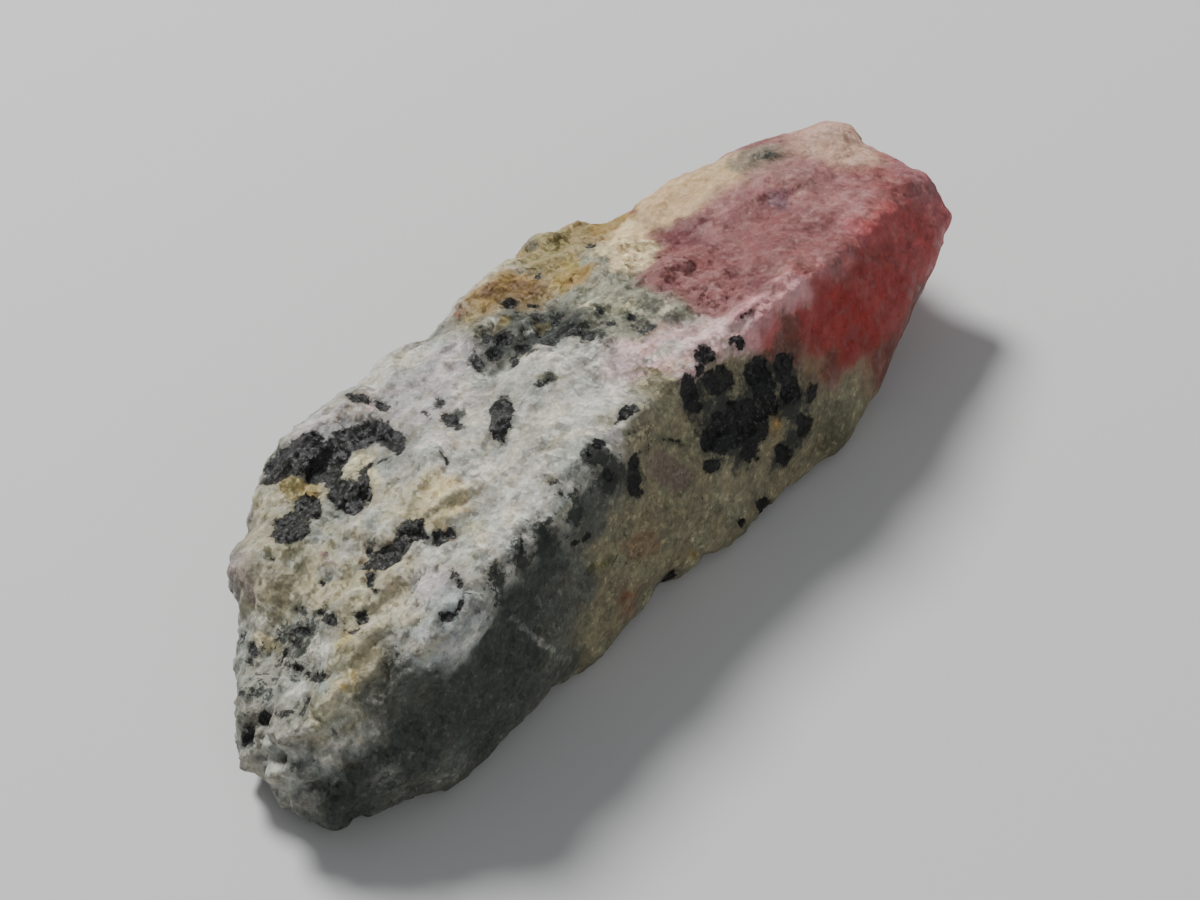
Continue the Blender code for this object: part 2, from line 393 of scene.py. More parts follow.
# Where each mineral shows in the photograph: column, row, and reach in millimetres.
PHOTO_SITES = [
    ("grey albite", 300, 768, 1.0), ("grey albite", 262, 765, 0.8), ("albite", 288, 745, 0.7),
    # The dark sites at the near tip on the next two lines are painted shade: under its lowest edge and in
    # the two hollows below its ledge.
    ("dark side and shade", 350, 802, 1.0), ("side grey and shade", 400, 790, 1.0), ("dark side and shade", 355, 762, 0.6),
    ("dark side and shade", 322, 780, 0.5), ("near cream", 322, 712, 0.8), ("albite", 342, 736, 0.7),
    ("cream", 345, 690, 0.5), ("cream", 354, 660, 0.6), ("cream", 366, 625, 0.7),
    ("near speckle", 300, 640, 1.0), ("near speckle", 258, 650, 1.0), ("near speckle", 300, 690, 1.0),
    ("near speckle", 265, 700, 0.9), ("near speckle", 335, 625, 0.7), ("blue albite", 325, 655, 0.4),
    ("near cream", 275, 592, 1.1), ("cream", 330, 588, 0.9), ("near cream", 300, 560, 1.0),
    ("near cream", 262, 545, 0.9), ("nub", 236, 580, 0.9), ("cream", 385, 600, 0.9),
    ("lilac albite", 425, 585, 0.8), ("blue albite", 455, 600, 0.7), ("blue albite", 430, 645, 0.6),
    ("blue albite", 468, 625, 0.6), ("albite", 482, 590, 0.6), ("clear albite", 395, 640, 0.5),
    ("side grey and shade", 392, 690, 0.8), ("side grey and shade", 380, 660, 0.4), ("clear albite", 400, 662, 0.35),
    ("near cream", 290, 515, 0.9), ("clear albite", 335, 520, 0.7), ("cream", 272, 500, 0.7),
    ("albite", 375, 520, 0.9), ("near cream", 340, 555, 0.9), ("cream", 400, 575, 0.8),
    ("albite", 450, 560, 0.9), ("sugar albite", 500, 545, 0.9), ("cream", 355, 465, 0.5),
    ("cream", 400, 495, 1.0), ("yellow cream", 445, 495, 0.9), ("sugar albite", 490, 478, 0.9),
    ("sugar albite", 530, 500, 0.9), ("lilac albite", 325, 425, 0.9), ("sugar albite", 380, 370, 0.9),
    ("lilac albite", 410, 405, 1.0), ("lilac albite", 455, 355, 0.9), ("clear albite", 410, 445, 0.8),
    ("sugar albite", 455, 445, 1.0), ("albite", 545, 440, 1.2), ("sugar albite", 560, 405, 1.2),
    ("sugar albite", 600, 405, 1.0), ("albite", 540, 365, 0.8), ("sugar albite", 590, 360, 0.9),
    ("haze", 500, 340, 0.9), ("haze", 566, 330, 0.9), ("dark side and shade", 552, 331, 0.7),
    ("pale haze", 620, 305, 1.0), ("pale haze", 662, 316, 0.8), ("haze", 480, 366, 0.5),
    ("albite", 440, 340, 0.8), ("ochre", 515, 289, 0.7), ("ochre", 478, 303, 0.6),
    ("straw", 550, 265, 0.8), ("straw", 530, 250, 0.8), ("straw", 565, 240, 0.8),
    ("straw", 592, 225, 0.7), ("pale haze", 590, 262, 0.6), ("ochre", 570, 278, 0.5),
    ("pale haze", 605, 288, 0.6), ("warm cream", 628, 250, 0.7), ("ochre", 620, 215, 0.5),
    ("cream pink", 660, 200, 1.0), ("cream pink", 700, 182, 1.1), ("cream pink", 728, 165, 0.7),
    ("grey back", 765, 156, 0.8), ("pale lobe", 830, 138, 1.4), ("dusky rose", 682, 238, 0.8),
    ("rose", 720, 255, 1.4), ("rose", 765, 225, 1.4), ("rose", 700, 290, 1.1),
    ("light rose", 820, 195, 1.4), ("lobe rose", 885, 180, 0.9), ("light rose", 855, 188, 0.7),
    ("mauve", 780, 200, 0.4), ("rose", 830, 240, 1.2), ("light rose", 800, 165, 0.8),
    ("pale pink", 620, 352, 0.7), ("pale pink", 665, 343, 0.8), ("pale pink", 712, 330, 0.7),
    ("bright pink", 752, 315, 0.7), ("bright pink", 796, 294, 0.5), ("light rose", 825, 265, 0.7),
    ("crimson", 850, 320, 1.5), ("rose crimson", 824, 314, 1.1), ("rose crimson", 880, 285, 1.4),
    ("pink red", 905, 240, 1.2), ("far pink", 936, 212, 0.8), ("brown red", 882, 362, 0.7),
    ("brown red", 790, 345, 0.7), ("pink red", 768, 332, 0.5), ("dusty pink", 918, 176, 0.9),
    ("deep crimson", 858, 345, 0.8), ("brown red", 915, 300, 0.6), ("brown red", 830, 366, 0.5),
    ("rusty olive", 862, 380, 0.5), ("rusty olive", 815, 376, 0.5), ("pale olive", 850, 393, 0.9),
    ("dim olive", 835, 430, 1.1), ("olive", 740, 400, 1.0), ("olive", 790, 470, 1.1),
    ("pale olive", 720, 500, 1.3), ("olive", 680, 460, 1.1), ("olive", 660, 540, 1.3),
    ("rusty olive", 625, 597, 0.5), ("olive", 600, 620, 1.0), ("side grey and shade", 570, 600, 0.9),
    ("olive", 620, 560, 0.9), ("olive", 640, 430, 0.7), ("pale olive", 660, 390, 0.6),
    # The dark greys across the steep side are its own dark mineral, deepened as painted shade.
    ("dark side and shade", 541, 562, 0.9), ("dark side and shade", 520, 610, 1.0), ("dark side and shade", 500, 680, 1.2),
    ("side grey and shade", 560, 665, 0.8), ("dark side and shade", 440, 700, 1.1), ("side grey and shade", 455, 770, 0.9),
    ("side grey and shade", 592, 505, 0.6), ("dark side and shade", 480, 740, 1.0), ("dark side and shade", 410, 745, 0.9),
    ("dark side and shade", 495, 640, 0.7), ("grey albite", 585, 486, 0.4), ("grey albite", 560, 510, 0.5),
    ("grey albite", 530, 534, 0.5), ("grey albite", 506, 558, 0.5), ("clear albite", 484, 584, 0.5),
    ("clear albite", 600, 350, 0.5), ("clear albite", 536, 381, 0.5), ("mottled olive", 464, 322, 0.6),
    ("haze", 440, 331, 0.6), ("mottled olive", 484, 330, 0.5), ("pale haze", 600, 334, 0.5),
    ("pale haze", 636, 330, 0.5), ("ridge rose", 822, 275, 0.45), ("ridge rose", 848, 259, 0.5),
    ("far pink", 866, 237, 0.5), ("light rose", 744, 204, 0.9), ("light rose", 720, 229, 0.6),
    ("deep rose", 742, 284, 0.7), ("pale rose", 792, 172, 0.8), ("light rose", 704, 300, 0.6),
]

# The same for the faces that the photograph doesn't show: place in millimetres, and reach.
HIDDEN_SITES = [
    ("rose", (19.0, 3.5, 4.0), 2.5), ("light rose", (14.0, 5.0, 3.5), 2.2),
    ("cream pink", (9.5, 6.5, 4.0), 2.2), ("crimson", (20.0, -1.0, 3.2), 1.8),
    ("rose", (14.0, -1.0, 0.4), 2.6), ("olive", (6.0, -3.0, 0.0), 3.5), ("cream", (4.0, 7.0, 3.5), 2.2),
    ("albite", (-2.0, 7.0, 3.6), 2.4), ("clear albite", (-8.0, 7.0, 3.6), 2.4),
    ("near speckle", (-14.0, 6.0, 3.4), 2.2), ("grey albite", (-19.0, 2.5, 2.6), 1.8),
    ("underside", (0.0, 2.0, 0.0), 3.5), ("underside", (-9.0, 0.0, 0.0), 3.5),
    ("side grey and shade", (-16.0, -3.0, 0.0), 3.0), ("pale haze", (0.5, 6.5, 1.0), 2.0),
    ("cream", (-11.0, 6.0, 0.8), 2.0),
]

# Marks in the photograph: column, row, half length and half width in pixels, and the angle of
# the length, in degrees anticlockwise from the picture's right.

# Dark amphibole grains.
GRAINS = [
    (300, 457, 30, 18, 22), (278, 470, 15, 14, 20), (320, 474, 15, 11, 0), (334, 452, 14, 13, 60),
    (354, 436, 22, 10, 12), (386, 436, 20, 10, -25), (372, 427, 18, 8, 0), (398, 447, 9, 6, -30),
    (346, 496, 17, 15, 0), (364, 486, 6, 15, 10), (366, 470, 10, 4, 40), (380, 466, 10, 2, 25),
    (334, 479, 9, 12, -20), (310, 509, 13, 13, 0), (287, 533, 15, 12, 0), (302, 532, 10, 10, 0),
    (296, 518, 10, 8, 0), (359, 400, 11, 3, -5), (382, 405, 9, 4, -20), (268, 480, 8, 6, 30),
    (501, 419, 25, 11, 82), (450, 419, 10, 5, -10), (441, 403, 4, 3, 0), (458, 425, 6, 3, -40),
    (425, 416, 5, 2, 0), (412, 529, 17, 9, 10), (420, 534, 9, 8, 0), (387, 556, 18, 12, 28),
    (402, 545, 11, 8, 0), (441, 539, 8, 7, 0), (451, 534, 5, 5, 0), (370, 552, 4, 10, 0),
    (368, 565, 8, 4, 30), (372, 580, 4, 12, 15), (461, 586, 3, 11, 20), (455, 575, 4, 5, 0),
    (445, 618, 7, 7, -30), (457, 609, 3, 9, -20), (319, 580, 3, 3, 0), (273, 560, 3, 3, 0),
    (447, 461, 3, 3, 0), (361, 617, 6, 7, 0), (352, 630, 8, 4, 20), (301, 632, 9, 5, 0),
    (324, 612, 10, 3, 10), (335, 622, 7, 5, 0), (300, 607, 4, 3, 0), (252, 647, 4, 7, 0),
    (249, 662, 4, 5, 0), (299, 645, 5, 4, 0), (284, 655, 5, 6, 0), (318, 678, 12, 6, 0),
    (304, 669, 4, 4, 0), (264, 717, 8, 9, 0), (272, 722, 6, 6, 0), (251, 734, 5, 12, 0),
    (243, 694, 3, 4, 0), (303, 708, 9, 2, 60), (288, 716, 6, 2, 10), (509, 304, 10, 6, 0),
    (538, 276, 3, 3, 0), (592, 246, 5, 4, 0), (504, 338, 10, 7, 0), (478, 366, 5, 9, 30),
    (496, 352, 7, 6, 20), (523, 348, 8, 6, 0), (568, 330, 14, 7, 10), (548, 342, 9, 5, 0),
    (536, 318, 7, 4, 0), (588, 338, 8, 5, 0), (556, 316, 6, 4, 20), (486, 340, 5, 4, 0),
    (514, 360, 5, 3, 30), (612, 322, 5, 4, 0), (634, 316, 5, 4, 10), (600, 308, 4, 3, 0),
    (532, 304, 6, 4, 0), (541, 381, 7, 4, 0), (628, 411, 11, 7, 40), (617, 423, 4, 3, 40),
    (735, 341, 7, 5, 0), (741, 345, 5, 4, 0), (704, 356, 9, 10, 0), (698, 371, 5, 7, 0),
    (718, 381, 15, 13, 30), (688, 394, 9, 18, 5), (694, 408, 6, 7, 0), (758, 372, 11, 16, 0),
    (764, 390, 10, 15, 0), (752, 365, 6, 5, 0), (784, 368, 9, 16, -12), (790, 390, 10, 14, 0),
    (742, 412, 16, 12, 0), (757, 428, 12, 17, 0), (722, 420, 9, 10, 0), (716, 440, 14, 14, 0),
    (736, 436, 12, 12, 0), (752, 450, 9, 12, 0), (712, 466, 9, 7, 0), (784, 456, 8, 12, 0),
    (803, 424, 7, 11, 0), (811, 392, 5, 9, 0), (770, 404, 8, 10, 0), (597, 447, 7, 5, 30),
    (588, 456, 3, 4, 0), (609, 475, 8, 6, -20), (635, 462, 6, 10, -8), (634, 486, 8, 10, 0),
    (674, 441, 9, 3, -15), (762, 506, 7, 9, 0), (739, 522, 4, 5, 0), (556, 483, 4, 2, 0),
    (521, 545, 2, 8, 0), (560, 494, 2, 4, 0), (575, 544, 3, 5, 0), (586, 536, 4, 4, 0),
    (747, 313, 7, 2, 30),
]

# Small patches of other colour: mineral, then the mark.
PATCHES = [
    ("yellow", 299, 488, 26, 11, -14), ("yellow", 274, 480, 8, 6, 20),
    ("pale yellow", 360, 464, 15, 13, -30), ("pale yellow", 372, 478, 9, 8, 0),
    ("cream", 345, 474, 9, 6, 0), ("near cream", 330, 528, 14, 7, 0), ("pale pink", 369, 408, 9, 4, 0),
    ("nub", 254, 594, 5, 12, 10), ("mauve", 326, 557, 5, 4, -30), ("mauve", 331, 563, 4, 3, 0),
    ("rust", 450, 537, 8, 6, 0), ("rust", 361, 559, 3, 4, 0), ("clear albite", 345, 548, 10, 12, -20),
    ("clear albite", 330, 574, 14, 6, 0), ("pale yellow", 266, 641, 16, 8, -12),
    ("sugar albite", 320, 650, 14, 10, -20), ("sugar albite", 290, 662, 9, 6, 0),
    ("turquoise", 324, 690, 8, 7, 0), ("sugar albite", 252, 763, 9, 6, 0),
    ("albite", 280, 768, 15, 8, 20), ("sugar albite", 326, 758, 9, 6, 0),
    ("sugar albite", 337, 741, 9, 7, 0), ("clear albite", 364, 732, 9, 8, 0),
    # At the near tip, the dark haze patches in its two hollows and just under its ledge are painted
    # shade. The long white strip along the ledge is partly its white sugar and partly a painted highlight
    # on the ledge's lit edge.
    ("dim grey", 384, 773, 15, 7, 30), ("dim grey", 443, 770, 24, 8, 40), ("haze", 317, 786, 10, 7, 0),
    ("haze", 353, 765, 10, 6, 0), ("haze", 300, 742, 5, 3, 0), ("sugar albite", 290, 737, 44, 4, 30),
    ("sugar albite", 296, 690, 12, 9, 0), ("yellow", 348, 641, 6, 9, -10), ("yellow", 353, 676, 4, 10, 0),
    ("yellow", 345, 690, 5, 5, 0), ("cream", 384, 604, 20, 9, 35), ("cream", 362, 634, 10, 20, 15),
    ("cream", 318, 716, 16, 10, 20), ("lilac albite", 432, 580, 20, 12, 15),
    ("sugar albite", 398, 660, 7, 6, 0), ("blue albite", 425, 660, 16, 6, -10),
    ("sugar albite", 470, 634, 12, 8, 30), ("albite", 330, 757, 9, 7, 0),
    ("clear albite", 372, 728, 8, 8, 0), ("clear albite", 405, 470, 26, 14, 20),
    ("clear albite", 470, 520, 26, 8, 25), ("lilac albite", 437, 445, 18, 11, -30),
    ("sugar albite", 430, 455, 12, 7, 0), ("cream", 448, 500, 32, 8, 28),
    ("yellow cream", 462, 490, 16, 5, 30), ("cream", 410, 505, 22, 6, 15),
    ("sugar albite", 560, 362, 26, 11, -20), ("sugar albite", 470, 382, 20, 9, 20),
    ("moss", 549, 378, 14, 6, -8), ("moss", 648, 370, 16, 4, -8), ("pale olive", 655, 386, 14, 9, 20),
    ("lilac albite", 614, 436, 11, 8, 30), ("moss", 603, 563, 14, 4, 30),
    ("mauve olive", 668, 472, 26, 15, -40), ("rust", 625, 597, 6, 5, 0), ("ochre", 694, 553, 5, 6, 40),
    ("ochre", 775, 419, 4, 18, 0), ("rusty olive", 640, 545, 20, 12, 30), ("haze", 420, 698, 14, 8, 30),
    ("ochre", 608, 222, 20, 9, 20), ("rust", 633, 211, 7, 5, 20), ("warm cream", 628, 236, 14, 17, -20),
    ("warm cream", 622, 264, 13, 10, 0), ("yellow ochre", 563, 284, 16, 7, 20),
    ("yellow ochre", 573, 268, 9, 10, 0), ("brown", 520, 291, 32, 8, 12), ("brown", 492, 294, 10, 7, 30),
    ("rust", 459, 315, 7, 5, 30), ("haze", 531, 248, 8, 5, 20), ("grey back", 745, 160, 18, 9, 20),
    ("mauve", 779, 199, 13, 10, 0), ("dusky rose", 690, 228, 20, 12, 0),
    ("pale olive", 618, 310, 14, 6, 10), ("sugar albite", 662, 352, 30, 6, 22),
    ("haze", 650, 306, 12, 7, 0), ("haze", 672, 322, 9, 6, 0), ("bright pink", 792, 293, 34, 5, 38),
    ("pale pink", 738, 325, 24, 6, 28), ("grey albite", 546, 645, 31, 3, -40),
    ("cream", 612, 300, 8, 4, 20), ("cream", 588, 304, 8, 4, 0), ("cream", 640, 308, 9, 5, 10),
    ("cream", 668, 312, 7, 5, 0), ("sugar albite", 528, 330, 7, 4, 20),
    ("near speckle", 650, 328, 12, 5, 10), ("near speckle", 490, 326, 10, 4, 30),
    ("straw", 470, 318, 9, 4, 30), ("straw", 505, 322, 8, 4, 10), ("pale yellow", 626, 304, 9, 5, 10),
    ("straw", 540, 322, 7, 3, 20),
]

# Small forms: height in millimetres, softness of the edge in millimetres, then the mark.
FORMS = [
    (0.35, 0.6, 362, 640, 42, 13, 65), (0.3, 0.45, 330, 704, 22, 10, 36),
    (-0.4, 0.7, 388, 675, 38, 13, 80), (0.28, 0.15, 445, 628, 46, 22, 38),
    (0.32, 0.22, 290, 737, 46, 10, 20), (-0.25, 0.3, 263, 722, 14, 12, 20),
    (0.25, 0.35, 328, 758, 11, 8, 0), (-0.4, 0.4, 356, 765, 14, 9, 0), (-0.35, 0.4, 318, 787, 12, 9, 0),
    (0.22, 0.3, 252, 764, 11, 9, 0), (0.2, 0.3, 281, 769, 16, 10, 20), (0.2, 0.25, 338, 741, 10, 8, 0),
    (-0.2, 0.3, 300, 757, 8, 9, 0), (-0.2, 0.3, 264, 783, 10, 6, -30), (0.2, 0.3, 440, 770, 22, 9, 40),
    (0.25, 0.5, 329, 808, 26, 12, 10), (0.25, 0.7, 234, 580, 28, 13, 85),
    (-0.25, 0.3, 374, 382, 14, 8, 40), (-0.25, 0.3, 400, 357, 12, 8, 40),
    (-0.14, 0.1, 268, 634, 18, 2, 2), (-0.14, 0.1, 300, 706, 14, 3, 50),
    (0.05, 0.06, 546, 645, 31, 2, -40), (0.12, 0.15, 320, 650, 14, 10, -20),
    (-0.18, 0.25, 345, 545, 18, 14, -20), (0.15, 0.2, 430, 455, 26, 11, 20),
    (-0.15, 0.3, 405, 470, 26, 14, 20), (0.1, 0.3, 560, 362, 26, 11, -20),
    (-0.09, 0.5, 556, 330, 38, 16, 10), (0.2, 0.3, 450, 500, 44, 9, 28),
    (0.16, 0.12, 501, 419, 26, 12, 82), (0.1, 0.1, 412, 529, 15, 8, 10), (0.1, 0.1, 302, 458, 25, 15, 25),
    (-0.25, 0.5, 700, 552, 14, 10, 30), (0.18, 0.3, 625, 245, 14, 26, -10),
    (-0.16, 0.3, 595, 290, 26, 12, 10), (0.15, 0.3, 563, 280, 20, 12, 20),
]

# Where fine dark specks gather: column, row, reach in millimetres, and strength.
PEPPER_SITES = [
    (300, 640, 2.4, 1.0), (260, 690, 1.8, 0.9), (330, 690, 1.4, 0.6), (560, 330, 1.6, 0.9),
    (500, 350, 1.4, 0.9), (640, 310, 1.6, 0.6), (600, 480, 1.3, 0.9), (550, 540, 1.6, 1.0),
    (500, 600, 1.4, 0.8), (480, 640, 2.0, 0.5), (430, 720, 2.4, 0.5), (320, 470, 1.4, 0.6),
    (330, 555, 1.5, 0.45), (740, 420, 2.2, 0.7), (600, 600, 2.6, 0.35), (400, 770, 2.0, 0.7),
    (455, 412, 0.8, 0.6), (300, 770, 2.0, 0.55), (390, 650, 1.0, 0.7), (660, 480, 2.2, 0.5),
    (820, 430, 1.6, 0.5), (575, 498, 0.9, 0.95), (545, 526, 0.9, 0.95), (518, 553, 0.9, 0.95),
    (495, 578, 0.9, 0.95), (605, 473, 0.9, 0.95), (620, 540, 2.6, 0.55), (700, 500, 2.4, 0.5),
    (640, 440, 1.6, 0.7),
]

# Where buried grains darken the rock in soft blotches, the same way.
SMOKE_SITES = [
    (612, 474, 1.1, 1.1), (596, 455, 0.8, 1.0), (632, 478, 0.9, 1.0), (575, 512, 0.9, 0.9),
    (455, 415, 0.7, 0.9), (437, 408, 0.5, 0.7), (549, 378, 0.5, 0.9), (292, 516, 0.9, 0.6),
    (545, 540, 1.0, 0.9), (520, 562, 0.9, 0.8), (500, 590, 1.0, 0.6), (480, 620, 1.0, 0.5),
    (700, 400, 1.6, 0.8), (728, 424, 2.4, 1.0), (760, 385, 1.8, 0.9), (792, 400, 1.8, 0.9),
    (792, 440, 1.6, 0.8), (780, 458, 1.0, 0.8), (745, 455, 1.2, 0.8), (500, 345, 1.3, 0.85),
    (530, 338, 1.0, 0.75), (566, 328, 1.3, 0.95), (590, 335, 1.0, 0.8), (478, 365, 0.8, 0.75),
    (482, 332, 0.7, 0.75), (560, 328, 0.7, 0.6), (600, 340, 1.0, 0.72), (530, 352, 0.8, 0.78),
    (446, 332, 0.8, 0.5), (520, 318, 0.8, 0.65), (548, 304, 0.7, 0.6), (604, 318, 1.0, 0.65),
    (642, 326, 1.0, 0.7), (625, 315, 1.2, 0.55), (662, 322, 0.9, 0.5), (768, 157, 1.0, 0.7),
    (300, 648, 1.3, 0.5), (395, 665, 1.0, 0.6), (350, 790, 1.2, 0.6), (275, 725, 0.8, 0.6),
    (640, 560, 1.0, 0.45),
]

# The same on the hidden faces: place in millimetres, reach and strength.
HIDDEN_SMOKE = [
    ((-15.0, 6.5, 2.5), 1.8, 0.8), ((-4.0, 7.4, 4.5), 1.5, 0.7), ((2.0, 7.5, 2.0), 1.5, 0.8),
    ((-9.0, 7.0, 1.5), 1.6, 0.7), ((6.0, 6.5, 1.5), 1.4, 0.6), ((-20.0, 1.0, 2.0), 1.5, 0.7),
]

# Where the break is calmer: column, row, reach in millimetres, and the share of relief left out.
CALM_SPOTS = [
    (560, 415, 4.0, 0.62), (450, 400, 3.0, 0.5), (400, 370, 2.5, 0.45), (665, 345, 2.5, 0.5),
    (465, 600, 1.5, 0.3), (500, 500, 3.0, 0.4), (620, 400, 2.5, 0.5),
]

# Where it is rougher than usual, the same way: the share is added to the relief.
ROUGH_SPOTS = [
    (300, 775, 2.6, 0.8), (270, 680, 2.2, 0.4), (345, 600, 2.0, 0.3), (420, 770, 2.0, 0.6),
    (500, 640, 2.5, 0.3),
]


def picked_points(rock, camera, pixels):
    """The surface point, in millimetres, that the camera sees at each pixel."""
    tree = BVHTree.FromObject(rock, bpy.context.evaluated_depsgraph_get())
    found = []
    for column, row in pixels:
        hit = tree.ray_cast(camera.place, camera.ray(column, row))[0]
        if hit is None:
            hit = nearest_to_ray(tree, camera, column, row)
        found.append(np.array(hit) / MM)
    return found


def nearest_to_ray(tree, camera, column, row):
    """The surface point nearest to a ray that just misses the stone."""
    direction = camera.ray(column, row)
    best = None
    for step in range(SEARCH_STEPS):
        point = camera.place + direction * (SEARCH_START + SEARCH_STEP * step)
        place, _, _, distance = tree.find_nearest(point)
        if best is None or distance < best[0]:
            best = (distance, place)
    return best[1]


def mineral_colours(rock, camera, places):
    """The colour of each point, mixed from the mineral sites around it."""
    warped = places.copy()
    for size, reach, seed in ZONE_WANDERS:
        warped += vector_field(places, size, reach, seed)
    total = np.zeros(len(places))
    colour = np.zeros((len(places), 3))
    pixels = [(column, row) for _, column, row, _ in PHOTO_SITES]
    sites = [(name, point, reach) for (name, _, _, reach), point
             in zip(PHOTO_SITES, picked_points(rock, camera, pixels))]
    sites += [(name, np.array(point), reach) for name, point, reach in HIDDEN_SITES]
    for name, point, reach in sites:
        distance = ((warped - point) ** 2).sum(1) / reach ** 2
        weight = np.exp(-ZONE_CRISPNESS * distance) + FAR_WEIGHT / (1.0 + distance) ** 2
        total += weight
        colour += weight[:, None] * np.array(MINERALS[name])
    return colour / total[:, None]


def mark_depth(places, camera, point, mark, columns, rows):
    """How deep each point lies inside a mark, in millimetres, negative outside it."""
    column, row, length, width, angle = mark
    turn = math.radians(angle)
    across = columns - column
    upward = row - rows
    along = (across * math.cos(turn) + upward * math.sin(turn)) / length
    aside = (upward * math.cos(turn) - across * math.sin(turn)) / width
    pixels_per_mm = camera.focal_pixels / ((Vector(point * MM) - camera.place).length / MM)
    apart = np.abs(along) ** MARK_SQUARENESS + np.abs(aside) ** MARK_SQUARENESS
    apart = apart ** (1.0 / MARK_SQUARENESS)
    depth = (1.0 - apart) * min(length, width) / pixels_per_mm
    reach = max(length, width) / pixels_per_mm * MARK_REACH + MARK_MARGIN
    return np.minimum(depth, reach - np.sqrt(((places - point) ** 2).sum(1)))


def patch_colours(rock, camera, places):
    """How deep each point lies in the nearest patch, in millimetres, and that patch's colour."""
    columns, rows = camera.project((places + vector_field(places, *PATCH_WANDER)) * MM)
    depth = np.full(len(places), FAR_OUTSIDE)
    colour = np.tile(np.array(MINERALS["albite"]), (len(places), 1))
    points = picked_points(rock, camera, [patch[1:3] for patch in PATCHES])
    for (name, *mark), point in zip(PATCHES, points):
        inside = mark_depth(places, camera, point, mark, columns, rows)
        nearer = inside > depth
        depth[nearer] = inside[nearer]
        colour[nearer] = MINERALS[name]
    return depth, colour


def form_height(rock, camera, places):
    """The height of the small forms at each point, in millimetres."""
    columns, rows = camera.project((places + vector_field(places, *FORM_WANDER)) * MM)
    height = np.zeros(len(places))
    points = picked_points(rock, camera, [form[2:4] for form in FORMS])
    for (rise, softness, *mark), point in zip(FORMS, points):
        depth = mark_depth(places, camera, point, mark, columns, rows)
        height += rise * smoothstep(0.0, softness, depth)
    return height


def hidden_grains(places, normals, camera):
    """Dark grains, in clusters, on the faces that the photograph doesn't show."""
    generator = random.Random(HIDDEN_SEED)
    away = places * MM - np.array(camera.place)
    hidden = (normals * away).sum(1) > HIDDEN_SLOPE * CAMERA_DISTANCE
    hidden &= places[:, 0] < PINK_START
    lower = np.nonzero(hidden & (normals[:, 2] < LOWER_SLOPE))[0]
    back = np.nonzero(hidden & (normals[:, 2] >= LOWER_SLOPE))[0]
    grains = []
    for number in range(HIDDEN_CLUSTERS):
        middle = places[generator.choice(lower if number % LOWER_EVERY == 0 else back)]
        for _ in range(generator.randint(*CLUSTER_GRAINS)):
            spot = middle + np.array([generator.gauss(0.0, CLUSTER_SPREAD) for _ in range(3)])
            radii = np.array([generator.uniform(*HIDDEN_RADII) for _ in range(3)])
            grains.append((spot, radii))
    return grains


def grain_depths(rock, camera, places, normals):
    """How deep each point lies inside the nearest dark grain, in millimetres."""
    moved = places + vector_field(places, *GRAIN_WANDER)
    columns, rows = camera.project(moved * MM)
    depth = np.full(len(places), FAR_OUTSIDE)
    points = picked_points(rock, camera, [mark[:2] for mark in GRAINS])
    for mark, point in zip(GRAINS, points):
        depth = np.maximum(depth, mark_depth(places, camera, point, mark, columns, rows))
    for spot, radii in hidden_grains(places, normals, camera):
        apart = np.sqrt((((moved - spot) / radii) ** 2).sum(1))
        depth = np.maximum(depth, (1.0 - apart) * radii.min())
    return depth


def calmness(rock, camera, places, normals):
    """How much of the relief is left out at each point, and below 0 how much is added."""
    side = smoothstep(*SIDE_RANGE, -normals[:, 1])
    pink = smoothstep(*PINK_RANGE, places[:, 0])
    calm = np.maximum(SIDE_CALM * side, PINK_CALM * pink)
    calm = np.maximum(calm, PINK_SIDE_CALM * side * pink)
    calm = np.maximum(calm, nearness(places, photo_spots(rock, camera, CALM_SPOTS)))
    return calm - nearness(places, photo_spots(rock, camera, ROUGH_SPOTS))


def photo_spots(rock, camera, sites):
    """The sites with the point that the camera sees in place of each one's pixel."""
    points = picked_points(rock, camera, [site[:2] for site in sites])
    return [(point, reach, strength) for point, (_, _, reach, strength) in zip(points, sites)]


def nearness(places, spots):
    """The strongest of the spots at each point: its strength, fading with its distance."""
    best = np.zeros(len(places))
    for point, reach, strength in spots:
        best = np.maximum(best, strength * np.exp(-((places - point) ** 2).sum(1) / reach ** 2))
    return best


def pepper_density(rock, camera, places):
    """How thick the fine dark specks are: more from 4 to 1 mm up, and 8 to 2 mm along."""
    low = PEPPER_LOW * smoothstep(1.0, -2.0, places[:, 2] - 3.0)
    low *= smoothstep(8.0, 2.0, places[:, 0])
    spots = photo_spots(rock, camera, PEPPER_SITES)
    return np.maximum(PEPPER_LEAST + low, nearness(places, spots))


def add_float(mesh, name, values):
    layer = mesh.attributes.new(name, "FLOAT", "POINT")
    layer.data.foreach_set("value", values.astype(np.float32))


def add_colour(mesh, name, values):
    layer = mesh.attributes.new(name, "FLOAT_COLOR", "POINT")
    four = np.c_[values, np.ones(len(values))]
    layer.data.foreach_set("color", four.astype(np.float32).ravel())


